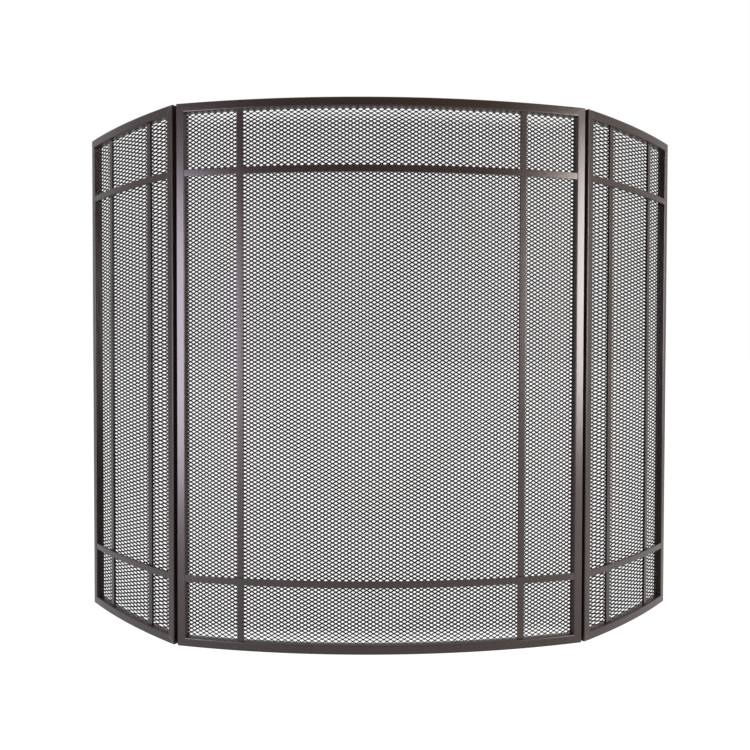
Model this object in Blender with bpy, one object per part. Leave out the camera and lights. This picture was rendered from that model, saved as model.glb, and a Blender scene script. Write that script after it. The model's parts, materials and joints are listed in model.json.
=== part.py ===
"""A free-standing fireplace screen: three bowed panels joined by pin hinges on the back.

Each panel is a frame of square steel tube, mitred and welded at its corners, with two bowed
flat bars, two upright flat bars behind them, and a sheet of diamond mesh behind those.
All three panels are rolled to one radius, so opened flush they lie on one circle.

The screen stands on z = 0 and bulges towards -Y. The origin is the bottom centre of its box.
"""
import math

import bmesh
import bpy
from mathutils import Matrix, Vector

# Driving dimensions, in metres and radians
HEIGHT = 0.787
BOW_RADIUS = 1.196
CENTER_CHORD = 0.5952
WING_CHORD = 0.2568
LEFT_FOLD = math.radians(24.0)
RIGHT_FOLD = math.radians(20.7)

TUBE = 0.0127
TUBE_WALL = 0.0012
WELD_GAP = 0.0003

BAR_WIDTH = 0.0095
BAR_THICKNESS = 0.003
BOWED_BAR_DEPTH = 0.0005
UPRIGHT_BAR_DEPTH = BOWED_BAR_DEPTH + BAR_THICKNESS + WELD_GAP
BOWED_BAR_INSET = 0.0995
CENTER_UPRIGHT_INSET = 0.096
WING_INNER_UPRIGHT_INSET = 0.0645
WING_OUTER_UPRIGHT_INSET = 0.0710

MESH_DEPTH = 0.0085
MESH_THICKNESS = 0.0004

PANEL_CLEARANCE = 0.0006
AXIS_BEHIND_FRAME = 0.0022
HINGE_HEIGHT = 0.050
HINGE_CENTERS = (0.160, 0.627)
KNUCKLE_RADIUS = 0.0019
PIN_HOLE_RADIUS = 0.0011
PIN_RADIUS = 0.0008
PIN_HEAD_RADIUS = 0.0015
PIN_HEAD_HEIGHT = 0.0008
LEAF_WIDTH = 0.0115
LEAF_THICKNESS = 0.0012
RIVET_HOLE_RADIUS = 0.0015
RIVET_RADIUS = 0.0012
RIVET_HEAD_RADIUS = 0.0023
RIVET_HEAD_HEIGHT = 0.0009
RIVET_FROM_AXIS = 0.0072
RIVET_FROM_CENTER = 0.0125

CENTER_STATIONS = 20
WING_STATIONS = 12
ROUND_SIDES = 16
RIVET_SIDES = 12

BRONZE = (0.034, 0.026, 0.024)
MESH_BLACK = (0.012, 0.012, 0.013)
HINGE_BRONZE = (0.030, 0.023, 0.021)
PIN_STEEL = (0.35, 0.34, 0.33)

# Angles that follow from the driving dimensions, all about the bow's centre
CENTER_HALF_ANGLE = math.asin(CENTER_CHORD / 2 / BOW_RADIUS)
WING_ANGLE = 2 * math.asin(WING_CHORD / 2 / BOW_RADIUS)
CLEARANCE_ANGLE = PANEL_CLEARANCE / BOW_RADIUS
TUBE_ANGLE = TUBE / (BOW_RADIUS - TUBE / 2)
GAP_ANGLE = WELD_GAP / BOW_RADIUS
MITRE_GAP = WELD_GAP / math.sqrt(2)
BOW_CENTER_Y = BOW_RADIUS * math.cos(CENTER_HALF_ANGLE)


def bow_point(radius, angle, z):
    """A point of the flush screen: radius from the bow's centre, angle from its middle."""
    return Vector((radius * math.sin(angle), BOW_CENTER_Y - radius * math.cos(angle), z))


def hinge_axis(side):
    """The foot of the hinge axis on one side: -1 is the left joint, 1 is the right."""
    radius = BOW_RADIUS - TUBE - AXIS_BEHIND_FRAME
    return bow_point(radius, side * (CENTER_HALF_ANGLE + CLEARANCE_ANGLE / 2), 0)


def box_center():
    """The middle of the folded screen's plan, from the corners that reach furthest."""
    corners = [bow_point(BOW_RADIUS, 0, 0)]
    outer_angle = CENTER_HALF_ANGLE + CLEARANCE_ANGLE + WING_ANGLE
    for side, fold in ((-1, LEFT_FOLD), (1, RIGHT_FOLD)):
        axis = hinge_axis(side)
        turn = Matrix.Rotation(side * fold, 3, "Z")
        for radius in (BOW_RADIUS, BOW_RADIUS - TUBE):
            corner = bow_point(radius, side * outer_angle, 0)
            corners.append(axis + turn @ (corner - axis))
    xs = [corner.x for corner in corners]
    ys = [corner.y for corner in corners]
    return Vector(((min(xs) + max(xs)) / 2, (min(ys) + max(ys)) / 2, 0))


class Panel:
    """One framed panel: the arc that it spans and the empty that carries its pieces.

    upright_insets are the distances of its two upright bars from the low and the high end.
    """

    def __init__(self, name, low_angle, high_angle, stations, upright_insets, carrier, offset):
        self.name = name
        self.low_angle = low_angle
        self.high_angle = high_angle
        self.stations = stations
        self.upright_insets = upright_insets
        self.carrier = carrier
        self.offset = offset

    def point(self, radius, angle, z):
        return bow_point(radius, angle, z) - self.offset

    def between(self, part, inset_angle):
        """The angle at a part, 0 to 1, of the arc left by an inset from both ends."""
        low = self.low_angle + inset_angle
        high = self.high_angle - inset_angle
        return low + (high - low) * part


def clear_scene():
    for item in list(bpy.data.objects):
        bpy.data.objects.remove(item, do_unlink=True)


def painted(name, color, roughness, metallic):
    material = bpy.data.materials.new(name)
    material.use_nodes = True
    shader = material.node_tree.nodes["Principled BSDF"]
    shader.inputs["Base Color"].default_value = (*color, 1.0)
    shader.inputs["Roughness"].default_value = roughness
    shader.inputs["Metallic"].default_value = metallic
    return material


def add_empty(name, location, turn, parent):
    empty = bpy.data.objects.new(name, None)
    empty.location = location
    empty.rotation_euler = (0, 0, turn)
    empty.parent = parent
    bpy.context.scene.collection.objects.link(empty)
    return empty


def add_body(name, shape, parent, color, roughness=0.45, metallic=0.6):
    """Link a bmesh as an object with its own material, faces turned outwards."""
    bmesh.ops.recalc_face_normals(shape, faces=shape.faces)
    mesh = bpy.data.meshes.new(name)
    shape.to_mesh(mesh)
    shape.free()
    body = bpy.data.objects.new(name, mesh)
    body.parent = parent
    bpy.context.scene.collection.objects.link(body)
    mesh.materials.append(painted(name + "_paint", color, roughness, metallic))
    return body


def add_cutter(name, shape, parent):
    """A hidden solid that a Boolean joins to a piece or cuts from it."""
    cutter = add_body(name, shape, parent, (0.5, 0.5, 0.5))
    cutter.hide_render = True
    cutter.display_type = "WIRE"
    return cutter


def add_boolean(body, cutter, operation):
    modifier = body.modifiers.new(cutter.name, "BOOLEAN")
    modifier.operation = operation
    modifier.solver = "EXACT"
    modifier.object = cutter


def skin(shape, loops, closed_ends):
    """Join rings of points with quads, and cap the first and last ring if asked."""
    rings = [[shape.verts.new(point) for point in loop] for loop in loops]
    count = len(rings[0])
    for ring, following in zip(rings, rings[1:]):
        for i in range(count):
            j = (i + 1) % count
            shape.faces.new((ring[i], ring[j], following[j], following[i]))
    if closed_ends:
        shape.faces.new(rings[0])
        shape.faces.new(rings[-1])
    return rings


def tube_body(name, parent, outer_loops, inner_loops):
    """A hollow square tube, open at both ends."""
    shape = bmesh.new()
    outer = skin(shape, outer_loops, closed_ends=False)
    inner = skin(shape, inner_loops, closed_ends=False)
    for end in (0, -1):
        for i in range(4):
            j = (i + 1) % 4
            shape.faces.new((outer[end][i], outer[end][j], inner[end][j], inner[end][i]))
    return add_body(name, shape, parent, BRONZE)


def section(front, back, low, high, inset):
    """The corners of a square section in radius and height, drawn in by an inset."""
    return ((front - inset, low + inset), (back + inset, low + inset),
            (back + inset, high - inset), (front - inset, high - inset))


def make_rail(panel, name, low):
    """A bowed tube along the top or bottom, its ends cut to the corner mitres."""
    edge = 0 if low == 0 else HEIGHT
    outer, inner = [], []
    for station in range(panel.stations + 1):
        part = station / panel.stations
        for loops, wall in ((outer, 0), (inner, TUBE_WALL)):
            loop = []
            for radius, z in section(BOW_RADIUS, BOW_RADIUS - TUBE, low, low + TUBE, wall):
                inset = (abs(z - edge) + MITRE_GAP) / TUBE * TUBE_ANGLE
                loop.append(panel.point(radius, panel.between(part, inset), z))
            loops.append(loop)
    return tube_body(panel.name + name, panel.carrier, outer, inner)


def make_stile(panel, name, edge_angle, inward):
    """An upright tube at one end of the arc, mitred to the rails."""
    outer, inner = [], []
    for loops, wall in ((outer, 0), (inner, TUBE_WALL)):
        corners = section(BOW_RADIUS, BOW_RADIUS - TUBE, 0, TUBE, wall)
        low_loop, high_loop = [], []
        for radius, along in corners:
            angle = edge_angle + inward * along / TUBE * TUBE_ANGLE
            low = along + MITRE_GAP
            low_loop.append(panel.point(radius, angle, low))
            high_loop.append(panel.point(radius, angle, HEIGHT - low))
        loops.extend((low_loop, high_loop))
    return tube_body(panel.name + name, panel.carrier, outer, inner)


def make_strip(panel, name, depth, thickness, angles, heights, stations, color):
    """A solid strip that follows the bow between two angles and two heights."""
    loops = []
    for station in range(stations + 1):
        angle = angles[0] + (angles[1] - angles[0]) * station / stations
        corners = section(BOW_RADIUS - depth, BOW_RADIUS - depth - thickness, *heights, 0)
        loops.append([panel.point(radius, angle, z) for radius, z in corners])
    shape = bmesh.new()
    skin(shape, loops, closed_ends=True)
    return add_body(panel.name + name, shape, panel.carrier, color)


def make_panel(panel, low_stile, high_stile, low_bar, high_bar):
    """All the pieces of one panel; returns its two stiles."""
    make_rail(panel, "top_rail", HEIGHT - TUBE)
    make_rail(panel, "bottom_rail", 0)
    stiles = (make_stile(panel, low_stile, panel.low_angle, 1),
              make_stile(panel, high_stile, panel.high_angle, -1))

    inner_angles = [panel.between(part, TUBE_ANGLE + GAP_ANGLE) for part in (0, 1)]
    inner_heights = (TUBE + WELD_GAP, HEIGHT - TUBE - WELD_GAP)
    for name, middle in (("upper_bar", HEIGHT - BOWED_BAR_INSET), ("lower_bar", BOWED_BAR_INSET)):
        heights = (middle - BAR_WIDTH / 2, middle + BAR_WIDTH / 2)
        make_strip(panel, name, BOWED_BAR_DEPTH, BAR_THICKNESS, inner_angles, heights,
                   panel.stations, BRONZE)

    half_width = BAR_WIDTH / 2 / BOW_RADIUS
    for part, name in enumerate((low_bar, high_bar)):
        middle = panel.between(part, panel.upright_insets[part] / BOW_RADIUS)
        make_strip(panel, name, UPRIGHT_BAR_DEPTH, BAR_THICKNESS,
                   (middle - half_width, middle + half_width), inner_heights, 1, BRONZE)

    make_strip(panel, "mesh", MESH_DEPTH, MESH_THICKNESS, inner_angles, inner_heights,
               panel.stations, MESH_BLACK)
    return stiles


def add_cylinder(shape, radius, length, sides, matrix):
    """A closed cylinder whose flat sides, not corners, face the X and Y directions."""
    turn = Matrix.Rotation(math.pi / sides, 4, "Z")
    bmesh.ops.create_cone(shape, cap_ends=True, segments=sides, radius1=radius, radius2=radius,
                          depth=length, matrix=matrix @ turn)


def add_turned(shape, profile, sides):
    """Turn a profile of (radius, y) points, from axis to axis, about the Y axis."""
    rings = []
    for radius, y in profile[1:-1]:
        ring = []
        for i in range(sides):
            angle = 2 * math.pi * i / sides
            ring.append(shape.verts.new((radius * math.cos(angle), y, radius * math.sin(angle))))
        rings.append(ring)
    tips = [shape.verts.new((0, profile[end][1], 0)) for end in (0, -1)]
    for i in range(sides):
        j = (i + 1) % sides
        shape.faces.new((tips[0], rings[0][i], rings[0][j]))
        shape.faces.new((tips[1], rings[-1][j], rings[-1][i]))
        for ring, following in zip(rings, rings[1:]):
            shape.faces.new((ring[i], following[i], following[j], ring[j]))


def smooth(body):
    body.data.shade_smooth()
    body.data.set_sharp_from_angle(angle=math.radians(35))


def rivet_places():
    return [z + shift for z in HINGE_CENTERS for shift in (-RIVET_FROM_CENTER, RIVET_FROM_CENTER)]


def cut_rivet_holes(body, name, carrier, turn, along, places, low_y, high_y):
    """Drill holes along the hinge's depth through a leaf or a stile's back wall."""
    shape = bmesh.new()
    for z in places:
        place = Matrix.Translation((along, (low_y + high_y) / 2, z))
        lie = Matrix.Rotation(math.pi / 2, 4, "X")
        add_cylinder(shape, RIVET_HOLE_RADIUS, high_y - low_y, ROUND_SIDES, place @ lie)
    bmesh.ops.transform(shape, matrix=turn, verts=shape.verts)
    add_boolean(body, add_cutter(name, shape, carrier), "DIFFERENCE")


def make_leaf(name, carrier, turn, direction, middle, knuckles):
    """A hinge leaf: a flat plate on the stile's back with rolled knuckles around the pin.

    Its own frame has the pin along Z at the origin, Y to the back, and the plate on the
    side that direction gives. knuckles are (low, high) spans of height.
    """
    low, high = middle - HINGE_HEIGHT / 2, middle + HINGE_HEIGHT / 2
    plate_start = KNUCKLE_RADIUS + WELD_GAP
    tab_end_gap = 0.0004
    outline = [(LEAF_WIDTH, low), (plate_start, low)]
    for knuckle_low, knuckle_high in knuckles:
        tab_low = knuckle_low + tab_end_gap
        tab_high = knuckle_high - tab_end_gap
        outline.extend(((plate_start, tab_low), (0, tab_low), (0, tab_high), (plate_start, tab_high)))
    outline.extend(((plate_start, high), (LEAF_WIDTH, high)))

    front_y = WELD_GAP - AXIS_BEHIND_FRAME
    back_y = front_y + LEAF_THICKNESS
    loops = [[turn @ Vector((direction * x, y, z)) for x, z in outline] for y in (front_y, back_y)]
    shape = bmesh.new()
    skin(shape, loops, closed_ends=True)
    leaf = add_body(name, shape, carrier, HINGE_BRONZE)

    rolled = bmesh.new()
    for knuckle_low, knuckle_high in knuckles:
        place = Matrix.Translation((0, 0, (knuckle_low + knuckle_high) / 2))
        add_cylinder(rolled, KNUCKLE_RADIUS, knuckle_high - knuckle_low, ROUND_SIDES, turn @ place)
    add_boolean(leaf, add_cutter(name + "_knuckles", rolled, carrier), "UNION")

    bore = bmesh.new()
    place = Matrix.Translation((0, 0, middle))
    add_cylinder(bore, PIN_HOLE_RADIUS, HINGE_HEIGHT * 2, ROUND_SIDES, turn @ place)
    add_boolean(leaf, add_cutter(name + "_bore", bore, carrier), "DIFFERENCE")

    places = [middle - RIVET_FROM_CENTER, middle + RIVET_FROM_CENTER]
    cut_rivet_holes(leaf, name + "_holes", carrier, turn, direction * RIVET_FROM_AXIS, places,
                    front_y - LEAF_THICKNESS, back_y + LEAF_THICKNESS)
    return leaf


def make_pin(name, carrier, middle):
    """A hinge pin with a small head at each end."""
    half = HINGE_HEIGHT / 2 + WELD_GAP
    tip = half + PIN_HEAD_HEIGHT
    profile = ((0, tip), (PIN_HEAD_RADIUS * 0.7, tip), (PIN_HEAD_RADIUS, tip - PIN_HEAD_HEIGHT / 2),
               (PIN_HEAD_RADIUS, half), (PIN_RADIUS, half), (PIN_RADIUS, -half),
               (PIN_HEAD_RADIUS, -half), (PIN_HEAD_RADIUS, PIN_HEAD_HEIGHT / 2 - tip),
               (PIN_HEAD_RADIUS * 0.7, -tip), (0, -tip))
    shape = bmesh.new()
    add_turned(shape, profile, RIVET_SIDES)
    upright = Matrix.Translation((0, 0, middle)) @ Matrix.Rotation(math.pi / 2, 4, "X")
    bmesh.ops.transform(shape, matrix=upright, verts=shape.verts)
    smooth(add_body(name, shape, carrier, PIN_STEEL, roughness=0.35, metallic=1.0))


def make_rivet(name, carrier, turn, along, z):
    """A blind rivet: domed head over the leaf, shank through both walls, set tail inside."""
    seat = WELD_GAP * 2 + LEAF_THICKNESS - AXIS_BEHIND_FRAME
    shank_end = -AXIS_BEHIND_FRAME - TUBE_WALL - WELD_GAP
    tail = 0.0008
    profile = ((0, seat + RIVET_HEAD_HEIGHT), (RIVET_HEAD_RADIUS * 0.55, seat + RIVET_HEAD_HEIGHT * 0.85),
               (RIVET_HEAD_RADIUS * 0.9, seat + RIVET_HEAD_HEIGHT * 0.45), (RIVET_HEAD_RADIUS, seat),
               (RIVET_RADIUS, seat), (RIVET_RADIUS, shank_end),
               (RIVET_HOLE_RADIUS * 1.2, shank_end), (RIVET_HOLE_RADIUS * 1.2, shank_end - tail),
               (0, shank_end - tail * 1.2))
    shape = bmesh.new()
    add_turned(shape, profile, RIVET_SIDES)
    place = turn @ Matrix.Translation((along, 0, z))
    bmesh.ops.transform(shape, matrix=place, verts=shape.verts)
    smooth(add_body(name, shape, carrier, HINGE_BRONZE))


def make_hinge(name, side, middle, center_carrier, wing_carrier, turn):
    """One hinge: a leaf on each panel, a pin, and two rivets in each leaf."""
    low, high = middle - HINGE_HEIGHT / 2, middle + HINGE_HEIGHT / 2
    end_gap = 0.0002
    third = HINGE_HEIGHT / 3
    running_gap = WELD_GAP / 2
    outer_knuckles = ((low + end_gap, low + third - running_gap),
                      (high - third + running_gap, high - end_gap))
    middle_knuckle = ((low + third + running_gap, high - third - running_gap),)
    make_leaf(name + "center_leaf", center_carrier, turn, -side, middle, outer_knuckles)
    make_leaf(name + "wing_leaf", wing_carrier, turn, side, middle, middle_knuckle)
    make_pin(name + "pin", center_carrier, middle)
    for part, carrier, direction in (("center", center_carrier, -side), ("wing", wing_carrier, side)):
        for place, shift in (("lower", -RIVET_FROM_CENTER), ("upper", RIVET_FROM_CENTER)):
            make_rivet(name + part + "_rivet_" + place, carrier, turn, direction * RIVET_FROM_AXIS,
                       middle + shift)


def main():
    clear_scene()
    origin = add_empty("screen", -box_center(), 0, None)

    center = Panel("center_", -CENTER_HALF_ANGLE, CENTER_HALF_ANGLE, CENTER_STATIONS,
                   (CENTER_UPRIGHT_INSET, CENTER_UPRIGHT_INSET), origin, Vector((0, 0, 0)))
    center_stiles = make_panel(center, "left_stile", "right_stile", "left_upright", "right_upright")

    inner_angle = CENTER_HALF_ANGLE + CLEARANCE_ANGLE
    outer_angle = inner_angle + WING_ANGLE
    for side, name, fold in ((-1, "left", LEFT_FOLD), (1, "right", RIGHT_FOLD)):
        axis = hinge_axis(side)
        wing_axis = add_empty(name + "_wing_axis", axis, side * fold, origin)
        center_axis = add_empty(name + "_center_axis", axis, 0, origin)
        low_angle, high_angle = sorted((side * inner_angle, side * outer_angle))
        upright_insets = (WING_INNER_UPRIGHT_INSET, WING_OUTER_UPRIGHT_INSET)[::side]
        wing = Panel(name + "_wing_", low_angle, high_angle, WING_STATIONS,
                     upright_insets, wing_axis, axis)
        stile_names = ["hinge_stile", "outer_stile"][::side]
        bar_names = ["inner_upright", "outer_upright"][::side]
        wing_stiles = make_panel(wing, *stile_names, *bar_names)

        turn = Matrix.Rotation(side * (CENTER_HALF_ANGLE + CLEARANCE_ANGLE / 2), 4, "Z")
        hinge_stiles = ((center_stiles[0 if side < 0 else 1], center_axis, -side, "_center_drill"),
                        (wing_stiles[1 if side < 0 else 0], wing_axis, side, "_wing_drill"))
        for stile, carrier, direction, drill in hinge_stiles:
            cut_rivet_holes(stile, name + drill, carrier, turn, direction * RIVET_FROM_AXIS,
                            rivet_places(), -AXIS_BEHIND_FRAME - TUBE_WALL * 2,
                            -AXIS_BEHIND_FRAME + TUBE_WALL)
        for level, middle in zip(("lower", "upper"), HINGE_CENTERS):
            make_hinge(name + "_" + level + "_hinge_", side, middle, center_axis, wing_axis, turn)


main()
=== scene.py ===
"""The looks of the folding fireplace screen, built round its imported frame.

Each panel lies on one circle when the screen is opened flush. A panel's pieces are drawn in that
flush position, as a radius and an angle about the bow's centre and a height, and its turn then
places them. Every range comes from the CAD node that the piece stands for.
"""
import json
import math

import bmesh
import bpy
import numpy as np
from mathutils import Matrix, Vector


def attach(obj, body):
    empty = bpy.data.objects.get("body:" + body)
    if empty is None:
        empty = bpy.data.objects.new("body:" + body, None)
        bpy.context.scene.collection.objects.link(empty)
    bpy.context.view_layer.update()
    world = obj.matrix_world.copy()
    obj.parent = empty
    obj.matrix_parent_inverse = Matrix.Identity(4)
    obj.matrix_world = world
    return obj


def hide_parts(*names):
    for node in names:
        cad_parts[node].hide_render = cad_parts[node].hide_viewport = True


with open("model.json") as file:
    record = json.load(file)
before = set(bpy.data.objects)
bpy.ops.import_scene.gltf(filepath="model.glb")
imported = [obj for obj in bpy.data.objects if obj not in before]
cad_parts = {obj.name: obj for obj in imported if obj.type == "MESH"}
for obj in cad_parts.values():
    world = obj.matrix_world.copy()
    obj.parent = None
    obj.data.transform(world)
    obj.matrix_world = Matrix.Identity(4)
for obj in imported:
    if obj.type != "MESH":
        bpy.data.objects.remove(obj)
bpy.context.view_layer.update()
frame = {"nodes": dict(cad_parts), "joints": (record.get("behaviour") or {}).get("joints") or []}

# Square tube and flat bar. Every length is in metres, and every angle in radians.
TUBE_WALL = 0.0012
TUBE_CORNER = 0.0013
TUBE_INNER_CORNER = 0.0003
CORNER_STEPS = 4
BAR_CORNER = 0.0003
BAR_CORNER_STEPS = 2
SEAM_DEPTH = 0.00012
SEAM_LENGTH = 0.00025
WELD_SINK = 0.0002
WELD_SINK_ANGLE = 0.0002
BOW_STEP = 0.010
STILE_STATIONS = 24
FRONT_FACE_BAND = 0.005
SMOOTH_ANGLE = math.radians(35)

# Expanded metal: its diamonds' long and short ways, and the strands between them
CENTER_LONG_WAY = 0.0098
WING_LONG_WAY = 0.0210
SHORT_WAY = 0.00567
STRAND_HEIGHT = 0.00214
STRAND_THICKNESS = 0.0005
LOWER_STRAND_SHARE = 0.92
BOND_HEIGHT = 0.0029
BOND_LENGTH_SHARE = 0.50
BOND_RISE = 0.00012
STRAND_STEP = 0.040

# Hinges: rolled knuckles, leaves with rounded corners, blind rivets and a headed pin
LEAF_THICKNESS = 0.0012
LEAF_CORNER = 0.0018
LEAF_EDGE = 0.00018
CURL_THICKNESS = 0.0008
CURL_INSET = 0.00003
CURL_LAP = 0.0012
CURL_END = math.radians(-8)
CURL_LEAD = math.radians(4)
CURL_STEPS = 28
KNUCKLE_GAP = 0.0003
TURNED_SIDES = 28
DOME_REACH = math.radians(84)
DOME_STEPS = 6
RIVET_HEAD_FROM = 0.72
RIVET_SHANK_SHARE = 0.52
RIVET_TAIL_SHARES = (0.6, 1.2)
RIVET_TAIL_EDGE = 0.0003
RIVET_TAIL_HEIGHT = 0.0008
RIVET_TAIL_STEP = 0.0001
RIVET_PIT_SHARE = 0.28
RIVET_PIT_RIM = 1.2
RIVET_PIT_PROFILE = ((1.0, 0.00005), (0.85, 0.0004), (0.2, 0.00045))
PIN_HEAD_HEIGHT = 0.0008
PIN_SHANK_SHARE = 0.53

# Welds, on the frame's hidden side
BACKWARD_STEP = 0.01
BEAD_RADIUS = 0.0011
BEAD_RINGS = 14
BEAD_SIDES = 8
BEAD_RIPPLE = 0.10
BEAD_RIPPLE_TURN = math.pi * 1.5
BEAD_END_SWELL = 0.04
TACK_LENGTH = 0.0045
TACK_RADIUS = 0.0009
TACK_SPACING = 0.075

# Studio: the room's strength in front of and behind the screen, and the floor
ROOM_FRONT = 0.05
ROOM_BACK = 0.90
ROOM_FADE = 0.9
FLOOR_RADIUS = 40.0
FLOOR_SIDES = 96
FLOOR_WHITE = 1.1
FLOOR_GLOW = 0.56
FLOOR_SHADE = 0.30
FLOOR_ROUGHNESS = 0.8

# Softboxes: name, place, aim, width and height, watts, colour
SOFTBOXES = (
    ("left_softbox", (-1.10, -0.92, 0.48), (-0.29, -0.09, 0.48), (0.68, 0.94), 25.5,
     (0.91, 0.83, 1.0)),
    ("right_softbox", (1.245, -0.75, 0.64), (0.29, -0.09, 0.64), (0.70, 0.94), 40,
     (1.0, 0.90, 0.87)),
    ("top_softbox", (0, -0.4, 2.6), (0, 0, 0), (2.4, 1.8), 30, (1, 1, 1)),
)

# Camera
LENS = 33.64
LENS_SHIFT = -0.0089
CAMERA_PLACE = (-0.0381, -1.1004, 0.4261)
CAMERA_HEADING = math.radians(1.337)
CAMERA_TILT = math.radians(1.112)
CAMERA_ROLL = math.radians(0.130)

# Paint colours, from dark to light, and how rough each paint is
BRONZE = ((0.0095, 0.0058, 0.0043), (0.0185, 0.0112, 0.0088))
# The raised edges' colour: a painted highlight, mixed with a little rubbed wear.
RUBBED_AND_HIGHLIT_BRONZE = (0.075, 0.058, 0.050)
BLACK = ((0.0025, 0.0025, 0.0026), (0.0055, 0.0052, 0.0050))
RIVET_BRONZE = ((0.030, 0.022, 0.019), (0.060, 0.047, 0.042))
STEEL = ((0.30, 0.29, 0.28), (0.46, 0.45, 0.44))
FRAME_ROUGHNESS = 0.30
HINGE_ROUGHNESS = 0.33
RIVET_ROUGHNESS = 0.32
MESH_ROUGHNESS = 0.60
STEEL_ROUGHNESS = 0.30

STILE_NAMES = {
    "center_": ("left_stile", "right_stile"),
    "left_wing_": ("outer_stile", "hinge_stile"),
    "right_wing_": ("hinge_stile", "outer_stile"),
}
UPRIGHT_NAMES = {
    "center_": ("left_upright", "right_upright"),
    "left_wing_": ("outer_upright", "inner_upright"),
    "right_wing_": ("inner_upright", "outer_upright"),
}


def between(low, high, part):
    return low + (high - low) * part


def between_colors(low, high, part):
    return tuple(between(a, b, part) for a, b in zip(low, high))


def mesh_object(name, vertices, faces):
    """A closed piece from vertices and faces, with its normals outwards and round parts smooth."""
    mesh = bpy.data.meshes.new(name)
    mesh.from_pydata([tuple(v) for v in vertices], [], faces)
    work = bmesh.new()
    work.from_mesh(mesh)
    bmesh.ops.recalc_face_normals(work, faces=work.faces)
    work.to_mesh(mesh)
    work.free()
    mesh.shade_smooth()
    mesh.set_sharp_from_angle(angle=SMOOTH_ANGLE)
    piece = bpy.data.objects.new(name, mesh)
    bpy.context.scene.collection.objects.link(piece)
    return piece


def bow_circle():
    """The centre and radius of the front face's circle, from the centre panel's top rail."""
    points = [v.co for v in frame["nodes"]["center_top_rail"].data.vertices]
    end = max(points, key=lambda p: p.x)
    middle_x = (end.x + min(p.x for p in points)) / 2
    front_y = min(p.y for p in points)
    rows = []
    squares = []
    for p in points:
        share = (p.x - middle_x) / (end.x - middle_x)
        if p.y < between(front_y, end.y, share ** 2) + FRONT_FACE_BAND:
            rows.append((2 * p.x, 2 * p.y, 1.0))
            squares.append(p.x ** 2 + p.y ** 2)
    center_x, center_y, rest = np.linalg.lstsq(np.array(rows), np.array(squares), rcond=None)[0]
    return Vector((center_x, center_y, 0)), math.sqrt(rest + center_x ** 2 + center_y ** 2)


BOW_CENTER, BOW_RADIUS = bow_circle()


class Panel:
    """One panel: its body, its name in the nodes and its turn from the flush position."""

    def __init__(self, name, body, joint=None):
        self.name = name
        self.body = body
        self.turn = Matrix.Identity(4)
        if joint is not None:
            axis = Vector(joint["pos_m"])
            fold = -math.radians(joint["range_deg"][0])
            rotation = Matrix.Rotation(fold, 4, Vector(joint["axis"]))
            self.turn = Matrix.Translation(axis) @ rotation @ Matrix.Translation(-axis)

    def point(self, radius, angle, z):
        offset = Vector((radius * math.sin(angle), -radius * math.cos(angle), z))
        return self.turn @ (BOW_CENTER + offset)

    def span(self, node):
        """A node's lowest and highest radius, angle and height in this panel."""
        back = self.turn.inverted()
        spots = []
        for vertex in frame["nodes"][node].data.vertices:
            p = back @ vertex.co - BOW_CENTER
            spots.append((math.hypot(p.x, p.y), math.atan2(p.x, -p.y), p.z))
        spots = np.array(spots)
        return Span(spots.min(0), spots.max(0))

    def add(self, piece, material, slot, *nodes):
        """Dresses a finished piece, rides it on the panel and hides the nodes it is drawn in place
        of.
        """
        piece.data.materials.clear()
        piece.data.materials.append(material)
        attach(piece, self.body)
        if nodes:
            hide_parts(*nodes)
        return piece


class Span:
    """The lowest and highest radius, angle and height that a node reaches."""

    def __init__(self, low, high):
        self.radius = (float(low[0]), float(high[0]))
        self.angle = (float(low[1]), float(high[1]))
        self.z = (float(low[2]), float(high[2]))


def rounded_outline(width, height, corner, steps):
    """A rounded rectangle about the origin, anticlockwise, as (x, y) points."""
    points = []
    for quarter, (sx, sy) in enumerate(((1, 1), (-1, 1), (-1, -1), (1, -1))):
        for step in range(steps + 1):
            a = math.radians(90) * (quarter + step / steps)
            x = sx * (width / 2 - corner) + corner * math.cos(a)
            y = sy * (height / 2 - corner) + corner * math.sin(a)
            points.append((x, y))
    return points


def stations_for(length, step):
    """Even stations from 0 to 1, with two more by each end for the seam's rounded lip."""
    count = max(2, round(length / step))
    lip = SEAM_LENGTH / length
    inner = [between(lip, 1 - lip, i / count) for i in range(count + 1)]
    return [0.0, *inner, 1.0]


def flat_faced(piece):
    """Keeps a tube's or bar's flat faces flat in the light beside its rounded edges."""
    piece.modifiers.new("flat_faces", "WEIGHTED_NORMAL").keep_sharp = True
    return piece


def closed_grid(rings, caps):
    """Faces that join rings of points.

    With caps a face closes each end. Without them the last ring joins the first.
    """
    size = len(rings[0])
    faces = []
    pairs = len(rings) - 1 if caps else len(rings)
    for i in range(pairs):
        a, b = i * size, (i + 1) % len(rings) * size
        for j in range(size):
            k = (j + 1) % size
            faces.append((a + j, a + k, b + k, b + j))
    if caps:
        last = (len(rings) - 1) * size
        faces.append(tuple(range(size))[::-1])
        faces.append(tuple(range(last, last + size)))
    return faces


def hollow_tube(name, outline_size, place, parts):
    """A square tube with a wall, open at both ends.

    place(u, v, part) puts the outline's point (u, v), from its middle, at a part of its length.
    """
    rings = []
    for inside in (False, True):
        ordered = parts[::-1] if inside else parts
        for part in ordered:
            lip = SEAM_DEPTH if part in (0.0, 1.0) and not inside else 0.0
            size = outline_size - 2 * (TUBE_WALL if inside else lip)
            corner = TUBE_INNER_CORNER if inside else TUBE_CORNER
            outline = rounded_outline(size, size, corner, CORNER_STEPS)
            rings.append([place(u, v, part) for u, v in outline])
    vertices = [p for ring in rings for p in ring]
    return flat_faced(mesh_object(name, vertices, closed_grid(rings, caps=False)))


def solid_bar(name, width, thickness, place, parts):
    """A flat bar with eased edges and closed ends."""
    outline = rounded_outline(width, thickness, BAR_CORNER, BAR_CORNER_STEPS)
    rings = [[place(u, v, part) for u, v in outline] for part in parts]
    vertices = [p for ring in rings for p in ring]
    return flat_faced(mesh_object(name, vertices, closed_grid(rings, caps=True)))


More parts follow.
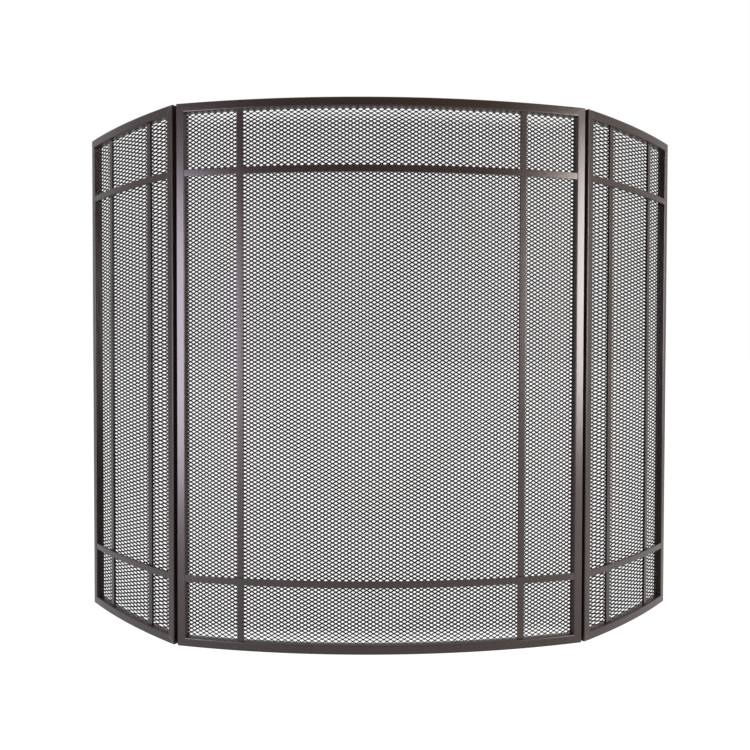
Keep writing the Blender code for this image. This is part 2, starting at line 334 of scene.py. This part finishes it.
def rail(panel, node, outer_z, inner_z, angles, radii, material):
    """A bowed rail whose ends are mitred from its outer edge in towards its inner edge."""
    tube = abs(outer_z - inner_z)
    middle_radius = sum(radii) / 2
    middle_z = (outer_z + inner_z) / 2
    mitre = tube / middle_radius

    def place(u, v, part):
        z = middle_z + v
        inset = mitre * abs(z - outer_z) / tube
        angle = between(angles[0] + inset, angles[1] - inset, part)
        return panel.point(middle_radius + u, angle, z)

    parts = stations_for((angles[1] - angles[0]) * middle_radius, BOW_STEP)
    piece = hollow_tube(panel.name + node, tube, place, parts)
    return panel.add(piece, material, "frame", panel.name + node)


def stile(panel, node, outer_angle, inner_angle, heights, radii, material):
    """An upright of the frame, square to the bow, with both ends mitred."""
    tube = radii[1] - radii[0]
    middle_radius = sum(radii) / 2
    middle_angle = (outer_angle + inner_angle) / 2
    turn = abs(outer_angle - inner_angle)

    def place(u, v, part):
        angle = middle_angle + v * turn / tube
        inset = tube * abs(angle - outer_angle) / turn
        z = between(heights[0] + inset, heights[1] - inset, part)
        return panel.point(middle_radius + u, angle, z)

    parts = stations_for(heights[1] - heights[0], (heights[1] - heights[0]) / STILE_STATIONS)
    piece = hollow_tube(panel.name + node, tube, place, parts)
    return panel.add(piece, material, "frame", panel.name + node)


def bowed_bar(panel, node, material, reach):
    """A flat bar across the panel, its ends welded to the stiles' inner sides."""
    span = panel.span(panel.name + node)
    middle_radius = sum(span.radius) / 2
    middle_z = sum(span.z) / 2
    low, high = span.angle[0] - reach, span.angle[1] + reach
    count = round((high - low) * middle_radius / BOW_STEP)

    def place(u, v, part):
        return panel.point(middle_radius + v, between(low, high, part), middle_z + u)

    parts = [i / count for i in range(count + 1)]
    width = span.z[1] - span.z[0]
    thickness = span.radius[1] - span.radius[0]
    piece = solid_bar(panel.name + node, width, thickness, place, parts)
    return panel.add(piece, material, "frame", panel.name + node)


def upright_bar(panel, node, front_radius, heights, material):
    """A flat bar behind the bowed bars, welded between the rails."""
    span = panel.span(panel.name + node)
    middle_angle = sum(span.angle) / 2
    thickness = front_radius - span.radius[0]
    middle_radius = front_radius - thickness / 2
    width = (span.angle[1] - span.angle[0]) * middle_radius

    def place(u, v, part):
        angle = middle_angle + u / middle_radius
        return panel.point(middle_radius + v, angle, between(*heights, part))

    parts = [i / STILE_STATIONS for i in range(STILE_STATIONS + 1)]
    piece = solid_bar(panel.name + node, width, thickness, place, parts)
    return panel.add(piece, material, "frame", panel.name + node)


def expanded_mesh(panel, node, long_way, width_range, heights, material):
    """Expanded metal: two families of slanted strands and a thicker bond where they cross.

    u runs along the bow from the sheet's left edge and z up, both in metres.
    """
    span = panel.span(node)
    radius = sum(span.radius) / 2
    width = (width_range[1] - width_range[0]) * radius
    low, high = heights
    tall = high - low
    slope = SHORT_WAY / long_way
    half = STRAND_HEIGHT / 2
    vertices = []
    faces = []

    def put(u, z, rise):
        vertices.append(panel.point(radius + rise, width_range[0] + u / radius, z))

    def strand(start, lean, rise):
        """One strand along z = start + lean * slope * u, where it lies on the sheet."""
        ends = sorted((edge - start) / (lean * slope) for edge in (low, high))
        first, last = max(0.0, ends[0]), min(width, ends[1])
        if last - first < STRAND_HEIGHT:
            return
        count = max(1, math.ceil((last - first) / STRAND_STEP))
        base = len(vertices)
        for i in range(count + 1):
            u = between(first, last, i / count)
            z = start + lean * slope * u
            for dz, dr in ((-half, -rise), (half, -rise), (half, rise), (-half, rise)):
                put(u, min(max(z + dz, low), high), dr)
        for i in range(count):
            a = base + 4 * i
            for j in range(4):
                k = (j + 1) % 4
                faces.append((a + j, a + k, a + 4 + k, a + 4 + j))
        faces.append((base, base + 1, base + 2, base + 3))
        end = base + 4 * count
        faces.append((end, end + 1, end + 2, end + 3))

    reach = slope * width
    first_row = low + SHORT_WAY / 2
    for i in range(-math.ceil(reach / SHORT_WAY) - 1, math.ceil(tall / SHORT_WAY) + 1):
        strand(first_row + i * SHORT_WAY, 1, STRAND_THICKNESS / 2)
    for i in range(-1, math.ceil((tall + reach) / SHORT_WAY) + 1):
        strand(first_row + i * SHORT_WAY, -1, STRAND_THICKNESS / 2 * LOWER_STRAND_SHARE)

    bond_half = long_way * BOND_LENGTH_SHARE / 2
    bond_rise = STRAND_THICKNESS / 2 + BOND_RISE
    columns = math.floor(width / (long_way / 2))
    rows = math.floor(tall / SHORT_WAY)
    for column in range(columns + 1):
        u = column * long_way / 2
        for row in range(rows + 1):
            z = first_row + (row + 0.5 * (column % 2)) * SHORT_WAY
            if not (bond_half < u < width - bond_half):
                continue
            if not (low + BOND_HEIGHT / 2 < z < high - BOND_HEIGHT / 2):
                continue
            base = len(vertices)
            put(u - bond_half, z, 0)
            put(u, z - BOND_HEIGHT / 2, 0)
            put(u + bond_half, z, 0)
            put(u, z + BOND_HEIGHT / 2, 0)
            put(u, z, bond_rise)
            put(u, z, -bond_rise)
            for j in range(4):
                k = (j + 1) % 4
                faces.append((base + j, base + k, base + 4))
                faces.append((base + k, base + j, base + 5))
    piece = mesh_object(node, vertices, faces)
    return panel.add(piece, material, "mesh", node)


def lofted(vertices, faces, rings):
    """Adds a closed form to the lists: rings of points, closed by a face at each end."""
    base = len(vertices)
    vertices.extend(p for ring in rings for p in ring)
    faces.extend(tuple(base + i for i in face) for face in closed_grid(rings, caps=True))


def weld_bead(vertices, faces, middle, along, rise, side, length, radius):
    """A rippled weld bead about middle, as long as length and half sunk in the metal."""
    rings = []
    for i in range(BEAD_RINGS + 1):
        share = between(-1, 1, i / BEAD_RINGS)
        swell = math.sqrt(max(BEAD_END_SWELL, 1 - share ** 4))
        swell *= 1 + BEAD_RIPPLE * math.sin(BEAD_RIPPLE_TURN * i)
        ring = []
        for j in range(BEAD_SIDES):
            turn = math.tau * j / BEAD_SIDES
            offset = radius * swell * (math.cos(turn) * rise + math.sin(turn) * side)
            ring.append(middle + along * (share * length / 2) + offset)
        rings.append(ring)
    lofted(vertices, faces, rings)


def welds(panel, inside, heights, uprights, material):
    """The weld beads at the bars' ends, and the tacks that hold the mesh in its frame."""
    vertices, faces = [], []
    up = Vector((0, 0, 1))

    def bead(radius, angle, z, upright, length, size):
        middle = panel.point(radius, angle, z)
        back = (panel.point(radius - BACKWARD_STEP, angle, z) - middle).normalized()
        across = back.cross(up)
        along, side = (up, across) if upright else (across, up)
        weld_bead(vertices, faces, middle, along, back, side, length, size)

    for node in ("upper_bar", "lower_bar"):
        bar = panel.span(panel.name + node)
        for angle in inside:
            bead(bar.radius[0], angle, sum(bar.z) / 2, True, bar.z[1] - bar.z[0], BEAD_RADIUS)
    for node in uprights:
        bar = panel.span(panel.name + node)
        width = (bar.angle[1] - bar.angle[0]) * bar.radius[0]
        for z in heights:
            bead(bar.radius[0], sum(bar.angle) / 2, z, False, width, BEAD_RADIUS)

    sheet = panel.span(panel.name + "mesh")
    behind = sheet.radius[0]
    width = (inside[1] - inside[0]) * behind
    count = round(width / TACK_SPACING)
    for i in range(count):
        angle = between(*inside, (i + 0.5) / count)
        for z in heights:
            bead(behind, angle, z, False, TACK_LENGTH, TACK_RADIUS)
    count = round((heights[1] - heights[0]) / TACK_SPACING)
    for i in range(count):
        z = between(*heights, (i + 0.5) / count)
        for angle in inside:
            bead(behind, angle, z, True, TACK_LENGTH, TACK_RADIUS)
    piece = mesh_object(panel.name + "welds", vertices, faces)
    return panel.add(piece, material, "frame")


class HingeFrame:
    """A hinge's own frame: the pin along Z, Y to the back, X along the flush panels."""

    def __init__(self, joint):
        self.foot = Vector((joint["pos_m"][0], joint["pos_m"][1], 0))
        out = self.foot - BOW_CENTER
        self.turn = Matrix.Rotation(math.atan2(out.x, -out.y), 4, "Z")

    def point(self, panel, x, y, z):
        return panel.turn @ (self.foot + self.turn @ Vector((x, y, z)))

    def span(self, panel, node):
        """A node's lowest and highest corners in this frame."""
        back = (Matrix.Translation(self.foot) @ self.turn).inverted() @ panel.turn.inverted()
        spots = np.array([back @ v.co for v in frame["nodes"][node].data.vertices])
        return Vector(spots.min(0).tolist()), Vector(spots.max(0).tolist())


def curl_outline(reach, radius, plate_y):
    """A knuckle's section: a strip along the plate that rolls round the pin to a lip."""
    inner = radius - CURL_THICKNESS
    plate_back = plate_y + CURL_THICKNESS
    start = math.asin(max(-1.0, plate_back / inner))
    outer_arc = []
    inner_arc = []
    for i in range(CURL_STEPS + 1):
        part = i / CURL_STEPS
        turn = between(math.radians(-90), CURL_END - math.tau, part)
        outer_arc.append((radius * math.cos(turn), radius * math.sin(turn)))
        turn = between(start - CURL_LEAD, CURL_END - math.tau, part)
        inner_arc.append((inner * math.cos(turn), inner * math.sin(turn)))
    return [(reach, plate_y), *outer_arc, *inner_arc[::-1], (reach, plate_back)]


def leaf(hinge, panel, node, knuckles, material):
    """A leaf: an eased plate with two rounded corners, and its rolled knuckles."""
    low, high = hinge.span(panel, node)
    direction = 1 if high.x > -low.x else -1
    width = max(high.x, -low.x)
    radius = high.y
    plate_start = radius + SEAM_LENGTH
    front = low.y
    vertices, faces = [], []

    corners = []
    for z, quarter in ((low.z + LEAF_CORNER, -90), (high.z - LEAF_CORNER, 0)):
        for step in range(CORNER_STEPS + 1):
            a = math.radians(quarter + 90 * step / CORNER_STEPS)
            corners.append((width - LEAF_CORNER + LEAF_CORNER * math.cos(a),
                            z + LEAF_CORNER * math.sin(a)))
    outline = [(plate_start, low.z), *corners, (plate_start, high.z)]
    middle_x, middle_z = (plate_start + width) / 2, (low.z + high.z) / 2
    rings = []
    for y, ease in ((front, LEAF_EDGE), (front + LEAF_EDGE, 0),
                    (front + LEAF_THICKNESS - LEAF_EDGE, 0), (front + LEAF_THICKNESS, LEAF_EDGE)):
        share_x = 1 - 2 * ease / (width - plate_start)
        share_z = 1 - 2 * ease / (high.z - low.z)
        rings.append([hinge.point(panel, direction * (middle_x + (x - middle_x) * share_x), y,
                                  middle_z + (z - middle_z) * share_z) for x, z in outline])
    lofted(vertices, faces, rings)

    section = curl_outline(plate_start + CURL_LAP, radius, front + CURL_INSET)
    for knuckle_low, knuckle_high in knuckles:
        lofted(vertices, faces, [
            [hinge.point(panel, direction * x, y, z) for x, y in section]
            for z in (knuckle_low, knuckle_high)
        ])
    piece = mesh_object(node, vertices, faces)
    return panel.add(piece, material, "hinge", node)


def turned(panel, node, place, profile, material, slot):
    """A turned piece; place(across, other, along) puts a point about its own axis."""
    rings = []
    for radius, along in profile:
        ring = []
        for i in range(TURNED_SIDES):
            turn = math.tau * i / TURNED_SIDES
            ring.append(place(radius * math.cos(turn), radius * math.sin(turn), along))
        rings.append(ring)
    vertices, faces = [], []
    lofted(vertices, faces, rings)
    return panel.add(mesh_object(node, vertices, faces), material, slot, node)


def dome(radius, base, height):
    """The profile of a low dome from its rim to near its top."""
    angles = [DOME_REACH * i / DOME_STEPS for i in range(DOME_STEPS + 1)]
    return [(radius * math.cos(a), base + height * math.sin(a)) for a in angles]


def rivet(hinge, panel, node, material):
    """A blind rivet: a low dome with the broken mandrel's pit, a shank and a set tail."""
    low, high = hinge.span(panel, node)
    middle = (low + high) / 2
    head_radius = (high.x - low.x) / 2
    head_base = low.y + (high.y - low.y) * RIVET_HEAD_FROM
    head_height = high.y - head_base
    shank = head_radius * RIVET_SHANK_SHARE
    pit = head_radius * RIVET_PIT_SHARE
    tail_end, tail = (shank * share for share in RIVET_TAIL_SHARES)
    head = dome(head_radius, head_base, head_height)
    profile = [
        (tail_end, low.y),
        (tail, low.y + RIVET_TAIL_EDGE),
        (tail, low.y + RIVET_TAIL_HEIGHT),
        (shank, low.y + RIVET_TAIL_HEIGHT + RIVET_TAIL_STEP),
        (shank, head_base),
        *((r, y) for r, y in head if r > pit * RIVET_PIT_RIM),
        *((pit * share, high.y - depth) for share, depth in RIVET_PIT_PROFILE),
    ]

    def place(across, other, along):
        return hinge.point(panel, middle.x + across, along, middle.z + other)

    return turned(panel, node, place, profile, material, "hinge")


def pin(hinge, panel, node, material):
    """The hinge pin, with a low domed head at each end."""
    low, high = hinge.span(panel, node)
    head_radius = (high.x - low.x) / 2
    shank = head_radius * PIN_SHANK_SHARE
    top = dome(head_radius, high.z - PIN_HEAD_HEIGHT / 2, PIN_HEAD_HEIGHT / 2)
    bottom = [(r, low.z + high.z - z) for r, z in top][::-1]
    profile = [
        *bottom, (head_radius, low.z + PIN_HEAD_HEIGHT), (shank, low.z + PIN_HEAD_HEIGHT),
        (shank, high.z - PIN_HEAD_HEIGHT), (head_radius, high.z - PIN_HEAD_HEIGHT), *top,
    ]

    def place(across, other, along):
        return hinge.point(panel, across, other, along)

    return turned(panel, node, place, profile, material, "pin")


def build_hinge(name, joint, center_panel, wing, paints):
    """One hinge between the centre and a wing: two leaves, a pin and four rivets."""
    hinge = HingeFrame(joint)
    low, high = hinge.span(center_panel, name + "center_leaf")
    third = (high.z - low.z) / 3
    gap = KNUCKLE_GAP / 2
    leaf(hinge, center_panel, name + "center_leaf",
         ((low.z + gap, low.z + third - gap), (high.z - third + gap, high.z - gap)),
         paints["hinge"])
    leaf(hinge, wing, name + "wing_leaf",
         ((low.z + third + gap, high.z - third - gap),), paints["hinge"])
    pin(hinge, center_panel, name + "pin", paints["pin"])
    for panel, part in ((center_panel, "center"), (wing, "wing")):
        for place in ("lower", "upper"):
            rivet(hinge, panel, f"{name}{part}_rivet_{place}", paints["rivet"])


class NodePaint:
    """A procedural paint, built up on a new material's Principled shader."""

    def __init__(self, name, metallic=0.0, specular=0.5):
        self.material = bpy.data.materials.new(name)
        self.material.use_nodes = True
        self.nodes = self.material.node_tree.nodes
        self.links = self.material.node_tree.links
        self.shader = self.nodes["Principled BSDF"]
        self.shader.inputs["Metallic"].default_value = metallic
        self.shader.inputs["Specular IOR Level"].default_value = specular
        self.place = self.nodes.new("ShaderNodeTexCoord").outputs["Object"]

    def stretched(self, scale):
        """The object's coordinates with each axis scaled, for a drawn or brushed grain."""
        mapping = self.nodes.new("ShaderNodeMapping")
        mapping.inputs["Scale"].default_value = scale
        self.links.new(self.place, mapping.inputs["Vector"])
        return mapping.outputs["Vector"]

    def noise(self, scale, detail, rough, vector=None):
        """Fractal noise from 0 to 1 over the object's own coordinates."""
        texture = self.nodes.new("ShaderNodeTexNoise")
        texture.inputs["Scale"].default_value = scale
        texture.inputs["Detail"].default_value = detail
        texture.inputs["Roughness"].default_value = rough
        self.links.new(vector or self.place, texture.inputs["Vector"])
        return texture.outputs["Fac"]

    def blend(self, a, b, share):
        """Two values mixed, with this share of the second."""
        mix = self.nodes.new("ShaderNodeMix")
        mix.data_type = "FLOAT"
        mix.inputs["Factor"].default_value = share
        self.links.new(a, mix.inputs["A"])
        self.links.new(b, mix.inputs["B"])
        return mix.outputs["Result"]

    def spread(self, value, source, target):
        """A value's source range turned into a target range, held at its ends."""
        ranged = self.nodes.new("ShaderNodeMapRange")
        ranged.inputs["From Min"].default_value, ranged.inputs["From Max"].default_value = source
        ranged.inputs["To Min"].default_value, ranged.inputs["To Max"].default_value = target
        self.links.new(value, ranged.inputs["Value"])
        return ranged.outputs["Result"]

    def sheen(self, value, smooth, rough):
        """A roughness that follows a noise value."""
        return self.spread(value, source=(0.3, 0.7), target=(smooth, rough))

    def ramp(self, value, stops):
        """A colour from a value, by (position, colour) stops."""
        ramp = self.nodes.new("ShaderNodeValToRGB")
        elements = ramp.color_ramp.elements
        while len(elements) < len(stops):
            elements.new(0.5)
        for element, (position, color) in zip(elements, stops):
            element.position = position
            element.color = (*color, 1)
        self.links.new(value, ramp.inputs["Fac"])
        return ramp.outputs["Color"]

    def tint(self, color, other, factor):
        """One colour fading to another where the factor rises."""
        mix = self.nodes.new("ShaderNodeMix")
        mix.data_type = "RGBA"
        self.links.new(factor, mix.inputs["Factor"])
        self.links.new(color, mix.inputs["A"])
        mix.inputs["B"].default_value = (*other, 1)
        return mix.outputs["Result"]

    def product(self, a, b):
        """Two values multiplied, held from 0 to 1."""
        times = self.nodes.new("ShaderNodeMath")
        times.operation = "MULTIPLY"
        times.use_clamp = True
        self.links.new(a, times.inputs[0])
        self.links.new(b, times.inputs[1])
        return times.outputs["Value"]

    def edges(self, start, end):
        """0 on flat metal and 1 on its raised edges."""
        pointiness = self.nodes.new("ShaderNodeNewGeometry").outputs["Pointiness"]
        return self.spread(pointiness, (start, end), (0.0, 1.0))

    def finish(self, color, roughness, height, strength, distance):
        """Joins the colour, the roughness and a bump in metres to the shader."""
        self.links.new(color, self.shader.inputs["Base Color"])
        self.links.new(roughness, self.shader.inputs["Roughness"])
        bump = self.nodes.new("ShaderNodeBump")
        bump.inputs["Strength"].default_value = strength
        bump.inputs["Distance"].default_value = distance
        self.links.new(height, bump.inputs["Height"])
        self.links.new(bump.outputs["Normal"], self.shader.inputs["Normal"])
        return self.material


def bronze_paint(name, dark, light, roughness):
    """Dark bronze powder coat: orange peel, fine metallic grain, and edges made lighter by a
    painted highlight with a little rubbed wear.
    """
    paint = NodePaint(name)
    drift = paint.noise(scale=7.0, detail=3.0, rough=0.55)
    peel = paint.noise(scale=420.0, detail=2.0, rough=0.5)
    grain = paint.noise(scale=1500.0, detail=2.0, rough=0.65)
    shade = paint.blend(paint.blend(peel, grain, share=0.6), drift, share=0.3)
    middle = between_colors(dark, light, 0.6)
    color = paint.ramp(shade, stops=((0.36, dark), (0.55, middle), (0.66, light)))
    # The raised edges are painted lighter: a painted highlight along them with a little rubbed
    # wear, made uneven by the grain.
    wear_and_highlight_grain = paint.spread(grain, source=(0.42, 0.62), target=(0.1, 0.7))
    rubbed_and_highlit_edges = paint.product(paint.edges(start=0.56, end=0.70), wear_and_highlight_grain)
    color = paint.tint(color, RUBBED_AND_HIGHLIT_BRONZE, rubbed_and_highlit_edges)
    sheen = paint.sheen(grain, roughness - 0.07, roughness + 0.07)
    height = paint.blend(peel, grain, share=0.35)
    return paint.finish(color, sheen, height, strength=0.35, distance=0.00016)


def mesh_paint(name, dark, light, roughness):
    """Thin black paint on expanded steel: uneven colour, a fine grain and uneven gloss."""
    paint = NodePaint(name, specular=0.12)
    drift = paint.noise(scale=14.0, detail=3.0, rough=0.6)
    grain = paint.noise(scale=1900.0, detail=2.0, rough=0.6)
    shade = paint.blend(drift, grain, share=0.5)
    color = paint.ramp(shade, stops=((0.38, dark), (0.64, light)))
    sheen = paint.sheen(grain, roughness - 0.08, roughness + 0.08)
    return paint.finish(color, sheen, grain, strength=0.3, distance=0.0001)


def drawn_steel(name, dark, light, roughness):
    """Bare steel wire with fine lines along its length."""
    paint = NodePaint(name, metallic=1.0)
    along_wire = paint.stretched((1, 1, 0.05))
    lines = paint.noise(scale=2600.0, detail=3.0, rough=0.6, vector=along_wire)
    stain = paint.noise(scale=260.0, detail=3.0, rough=0.6)
    shade = paint.blend(lines, stain, share=0.4)
    color = paint.ramp(shade, stops=((0.35, dark), (0.65, light)))
    sheen = paint.sheen(lines, roughness - 0.08, roughness + 0.10)
    return paint.finish(color, sheen, lines, strength=0.3, distance=0.00005)


def build_panel(panel, long_way, paints):
    """Every piece of one panel, from the ranges of its CAD nodes."""
    name = panel.name
    stiles, uprights = STILE_NAMES[name], UPRIGHT_NAMES[name]
    left = panel.span(name + stiles[0])
    right = panel.span(name + stiles[1])
    top = panel.span(name + "top_rail")
    bottom = panel.span(name + "bottom_rail")
    radii = left.radius
    tube = radii[1] - radii[0]
    angles = (left.angle[0], right.angle[1])
    inside = (left.angle[1], right.angle[0])
    heights = (bottom.z[0], top.z[1])
    stile(panel, stiles[0], angles[0], inside[0], heights, radii, paints["frame"])
    stile(panel, stiles[1], angles[1], inside[1], heights, radii, paints["frame"])
    rail(panel, "top_rail", heights[1], heights[1] - tube, angles, radii, paints["frame"])
    rail(panel, "bottom_rail", heights[0], heights[0] + tube, angles, radii, paints["frame"])
    for node in ("upper_bar", "lower_bar"):
        bar = panel.span(name + node)
        bowed_bar(panel, node, paints["frame"], bar.angle[0] - inside[0] + WELD_SINK_ANGLE)
    between_rails = (heights[0] + tube - WELD_SINK, heights[1] - tube + WELD_SINK)
    for node in uprights:
        upright_bar(panel, node, bar.radius[0], between_rails, paints["frame"])
    expanded_mesh(
        panel, name + "mesh", long_way, inside, (heights[0] + tube, heights[1] - tube),
        paints["mesh"],
    )
    welds(panel, inside, between_rails, uprights, paints["frame"])


def softbox(name, spot, aim, size, power, color):
    """A soft area light that the camera doesn't see."""
    light = bpy.data.lights.new(name, "AREA")
    light.shape = "ELLIPSE"
    light.size, light.size_y = size
    light.energy = power
    light.color = color
    holder = bpy.data.objects.new(name, light)
    holder.location = spot
    holder.rotation_euler = (Vector(aim) - Vector(spot)).to_track_quat("-Z", "Y").to_euler()
    holder.visible_camera = False
    bpy.context.scene.collection.objects.link(holder)


def studio_room():
    """White to the camera. As a light it is dark in front of the screen and pale behind it."""
    world = bpy.data.worlds.new("studio")
    bpy.context.scene.world = world
    world.use_nodes = True
    nodes, links = world.node_tree.nodes, world.node_tree.links
    nodes.clear()
    out = nodes.new("ShaderNodeOutputWorld")
    mix = nodes.new("ShaderNodeMixShader")
    path = nodes.new("ShaderNodeLightPath")
    direction = nodes.new("ShaderNodeTexCoord")
    split = nodes.new("ShaderNodeSeparateXYZ")
    fade = nodes.new("ShaderNodeMapRange")
    fade.interpolation_type = "SMOOTHSTEP"
    fade.inputs["From Min"].default_value = -ROOM_FADE
    fade.inputs["From Max"].default_value = ROOM_FADE
    fade.inputs["To Min"].default_value = ROOM_FRONT
    fade.inputs["To Max"].default_value = ROOM_BACK
    room = nodes.new("ShaderNodeBackground")
    backdrop = nodes.new("ShaderNodeBackground")
    for sheet in (room, backdrop):
        sheet.inputs["Color"].default_value = (1, 1, 1, 1)
    links.new(direction.outputs["Generated"], split.inputs["Vector"])
    links.new(split.outputs["Y"], fade.inputs["Value"])
    links.new(fade.outputs["Result"], room.inputs["Strength"])
    links.new(path.outputs["Is Camera Ray"], mix.inputs["Fac"])
    links.new(room.outputs["Background"], mix.inputs[1])
    links.new(backdrop.outputs["Background"], mix.inputs[2])
    links.new(mix.outputs["Shader"], out.inputs["Surface"])


def studio_floor():
    """White to the camera, and a soft light from below to the screen."""
    floor = bpy.data.meshes.new("studio_floor")
    work = bmesh.new()
    bmesh.ops.create_circle(work, cap_ends=True, radius=FLOOR_RADIUS, segments=FLOOR_SIDES)
    work.to_mesh(floor)
    work.free()
    piece = bpy.data.objects.new("studio_floor", floor)
    material = bpy.data.materials.new("studio_floor")
    material.use_nodes = True
    nodes, links = material.node_tree.nodes, material.node_tree.links
    surface = nodes["Principled BSDF"]
    surface.inputs["Base Color"].default_value = (FLOOR_SHADE, FLOOR_SHADE, FLOOR_SHADE, 1)
    surface.inputs["Roughness"].default_value = FLOOR_ROUGHNESS
    surface.inputs["Emission Color"].default_value = (1, 1, 1, 1)
    surface.inputs["Emission Strength"].default_value = FLOOR_GLOW
    white = nodes.new("ShaderNodeEmission")
    white.inputs["Strength"].default_value = FLOOR_WHITE
    mix = nodes.new("ShaderNodeMixShader")
    path = nodes.new("ShaderNodeLightPath")
    links.new(path.outputs["Is Camera Ray"], mix.inputs["Fac"])
    links.new(surface.outputs["BSDF"], mix.inputs[1])
    links.new(white.outputs["Emission"], mix.inputs[2])
    links.new(mix.outputs["Shader"], nodes["Material Output"].inputs["Surface"])
    floor.materials.append(material)
    bpy.context.scene.collection.objects.link(piece)


def camera():
    """A lens about 1.1 m in front, a little left of the middle and just above half height."""
    data = bpy.data.cameras.new("camera")
    data.lens = LENS
    data.sensor_width = 36.0
    data.shift_y = LENS_SHIFT
    data.clip_start = 0.01
    holder = bpy.data.objects.new("camera", data)
    forward = Vector((
        math.sin(CAMERA_HEADING) * math.cos(CAMERA_TILT),
        math.cos(CAMERA_HEADING) * math.cos(CAMERA_TILT),
        -math.sin(CAMERA_TILT),
    ))
    level = Vector((math.cos(CAMERA_HEADING), -math.sin(CAMERA_HEADING), 0))
    over = level.cross(forward)
    right = math.cos(CAMERA_ROLL) * level + math.sin(CAMERA_ROLL) * over
    up = -math.sin(CAMERA_ROLL) * level + math.cos(CAMERA_ROLL) * over
    holder.matrix_world = Matrix.Translation(CAMERA_PLACE) @ Matrix((
        (right.x, up.x, -forward.x, 0),
        (right.y, up.y, -forward.y, 0),
        (right.z, up.z, -forward.z, 0),
        (0, 0, 0, 1),
    ))
    bpy.context.scene.collection.objects.link(holder)
    bpy.context.scene.camera = holder


camera()
studio_room()
studio_floor()
for box in SOFTBOXES:
    softbox(*box)
bpy.context.scene.view_settings.view_transform = "Standard"

paints = {
    "frame": bronze_paint("bronze_paint", *BRONZE, FRAME_ROUGHNESS),
    "mesh": mesh_paint("black_paint", *BLACK, MESH_ROUGHNESS),
    "hinge": bronze_paint("hinge_paint", *BRONZE, HINGE_ROUGHNESS),
    "rivet": bronze_paint("rivet_paint", *RIVET_BRONZE, RIVET_ROUGHNESS),
    "pin": drawn_steel("bare_steel", *STEEL, STEEL_ROUGHNESS),
}
joints = {joint["child"]: joint for joint in frame["joints"]}
center = Panel("center_", "center_panel")
left_wing = Panel("left_wing_", "left_wing", joints["left_wing"])
right_wing = Panel("right_wing_", "right_wing", joints["right_wing"])
build_panel(center, CENTER_LONG_WAY, paints)
build_panel(left_wing, WING_LONG_WAY, paints)
build_panel(right_wing, WING_LONG_WAY, paints)
for side, wing in (("left", left_wing), ("right", right_wing)):
    for level in ("lower", "upper"):
        build_hinge(f"{side}_{level}_hinge_", joints[side + "_wing"], center, wing, paints)
